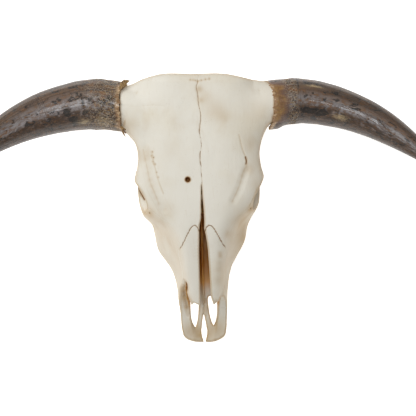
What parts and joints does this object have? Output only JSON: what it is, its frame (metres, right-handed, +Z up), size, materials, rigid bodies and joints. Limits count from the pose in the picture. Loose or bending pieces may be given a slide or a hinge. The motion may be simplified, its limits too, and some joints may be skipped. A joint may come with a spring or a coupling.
{
  "type": "bull skull",
  "caption": "Life-size skull of a horned bull without its lower jaw, in its separate bones, with both horn sheaths, lying face up.",
  "frame": {"origin": "middle of the bounding box at the floor, under the cheek teeth and jugular processes that the skull lies on", "axes": "+X to the animal's left along the horns, -Y towards the nose, +Z up from the floor"},
  "size_m": [0.8574, 0.4756, 0.2784],
  "materials": {
    "bone": "matte",
    "horn": "satin"
  },
  "bodies": {
    "root": {"nasal_left": "bone", "nasal_right": "bone", "frontal_left": "bone", "frontal_right": "bone", "lacrimal_left": "bone", "lacrimal_right": "bone", "zygomatic_left": "bone", "zygomatic_right": "bone", "incisive_left": "bone", "incisive_right": "bone", "maxilla_left": "bone", "maxilla_right": "bone", "temporal_left": "bone", "temporal_right": "bone", "occipital": "bone", "sphenoid": "bone", "horn_left": "horn", "horn_right": "horn"}
  },
  "joints": []
}
